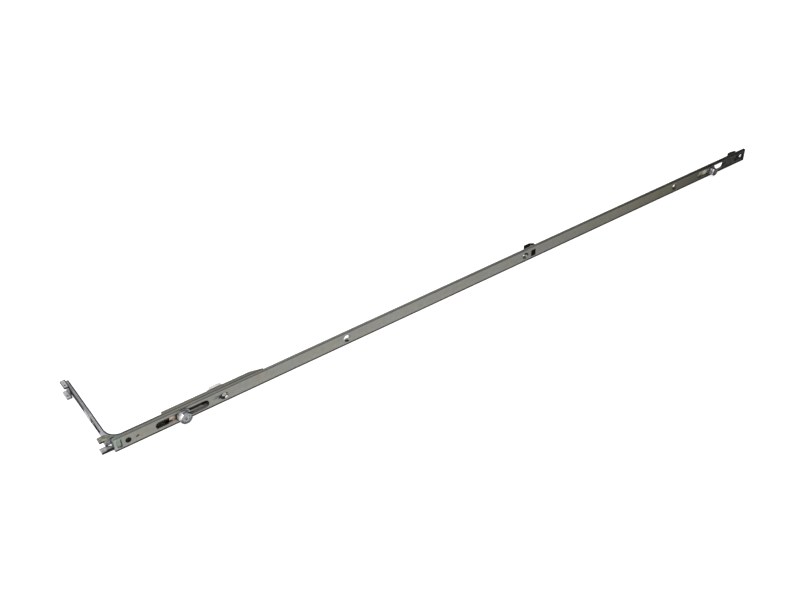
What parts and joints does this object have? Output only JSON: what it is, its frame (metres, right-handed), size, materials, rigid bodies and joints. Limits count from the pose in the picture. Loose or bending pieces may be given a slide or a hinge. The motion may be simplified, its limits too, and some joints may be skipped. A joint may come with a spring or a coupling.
{
  "type": "window espagnolette",
  "caption": "Window espagnolette with corner drive: long slotted faceplate, sliding rod with eccentric locking cams, and a short leg driven round the corner by spring leaves.",
  "frame": {"origin": "on the lower long edge of the faceplate, at its corner end, in the middle of the plate's thickness", "axes": "+X along the long leg away from the corner, +Y along the short leg and into the sash groove behind the faceplate, +Z across the 16 mm width of the faceplate, upwards as it lies"},
  "size_m": [0.8831, 0.1169, 0.016],
  "materials": {
    "faceplate_steel": "zinc-plated steel strip, silver-grey, satin, fine marks along its length",
    "rod_steel": "zinc-plated steel rod, satin",
    "plate_steel": "zinc-plated pressed steel, satin, bright",
    "corner_zinc": "die-cast zinc, satin, slightly greenish grey",
    "spring_steel": "spring steel leaf, smooth",
    "bar_steel": "zinc-plated steel bar, satin, faint lilac passivation",
    "cam_zinc": "bright zinc-plated turned steel",
    "roller_steel": "bright turned steel sleeve",
    "rivet_steel": "plain steel rivet",
    "warm_rivet": "copper-toned steel rivet",
    "shoe_alloy": "beige sintered bronze shoe",
    "nylon": "translucent white nylon, slightly milky",
    "black_plastic": "black glass-filled nylon, matt"
  },
  "bodies": {
    "faceplate_assembly": {"long_faceplate": "faceplate_steel", "corner_block": "corner_zinc", "corner_plate_lower": "plate_steel", "corner_plate_upper": "plate_steel", "corner_rivets": "rivet_steel", "corner_inner_guide": "bar_steel", "transfer_leaf_outer": "spring_steel", "transfer_leaf_inner": "spring_steel", "short_guide_rail": "bar_steel", "guide_bridge_clip": "plate_steel", "rail_cover": "faceplate_steel", "nylon_guide_stud": "nylon", "mid_guide_clip": "black_plastic"},
    "rod": {"drive_rod": "rod_steel", "band_anchor_shoe": "shoe_alloy", "shoe_rivets": "rivet_steel", "far_cam_backing": "rod_steel", "backing_rivets": "warm_rivet", "rod_end_block": "black_plastic", "end_block_rivets": "rivet_steel"},
    "short_rod": {"short_drive_bar": "bar_steel", "bar_band_rivets": "rivet_steel", "tip_clevis": "plate_steel", "clevis_rivets": "rivet_steel"},
    "near_cam": {"near_cam_pin": "cam_zinc"},
    "near_roller": {"near_cam_roller": "roller_steel"},
    "far_cam": {"far_cam_pin": "cam_zinc"},
    "far_roller": {"far_cam_roller": "roller_steel"}
  },
  "joints": [
    {"name": "rod_slide", "type": "slide", "parent": "faceplate_assembly", "child": "rod", "axis": [1, 0, 0], "range_m": [-0.018, 0.018]},
    {"name": "short_slide", "type": "slide", "parent": "faceplate_assembly", "child": "short_rod", "axis": [0, 1, 0], "range_m": [-0.018, 0.018]},
    {"name": "near_cam_adjust", "type": "hinge", "parent": "rod", "child": "near_cam", "pos_m": [0.0711, 0, 0.008], "axis": [0, -1, 0], "range_deg": [-90, 90]},
    {"name": "near_roller_spin", "type": "hinge", "parent": "near_cam", "child": "near_roller", "pos_m": [0.0711, -0.0035, 0.0073], "axis": [0, -1, 0], "continuous": true},
    {"name": "far_cam_adjust", "type": "hinge", "parent": "rod", "child": "far_cam", "pos_m": [0.8085, 0, 0.008], "axis": [0, -1, 0], "range_deg": [-90, 90]},
    {"name": "far_roller_spin", "type": "hinge", "parent": "far_cam", "child": "far_roller", "pos_m": [0.8091, -0.0035, 0.00765], "axis": [0, -1, 0], "continuous": true}
  ],
  "couplings": [
    {"joint": "short_slide", "follows": "rod_slide", "ratio": -1}
  ]
}
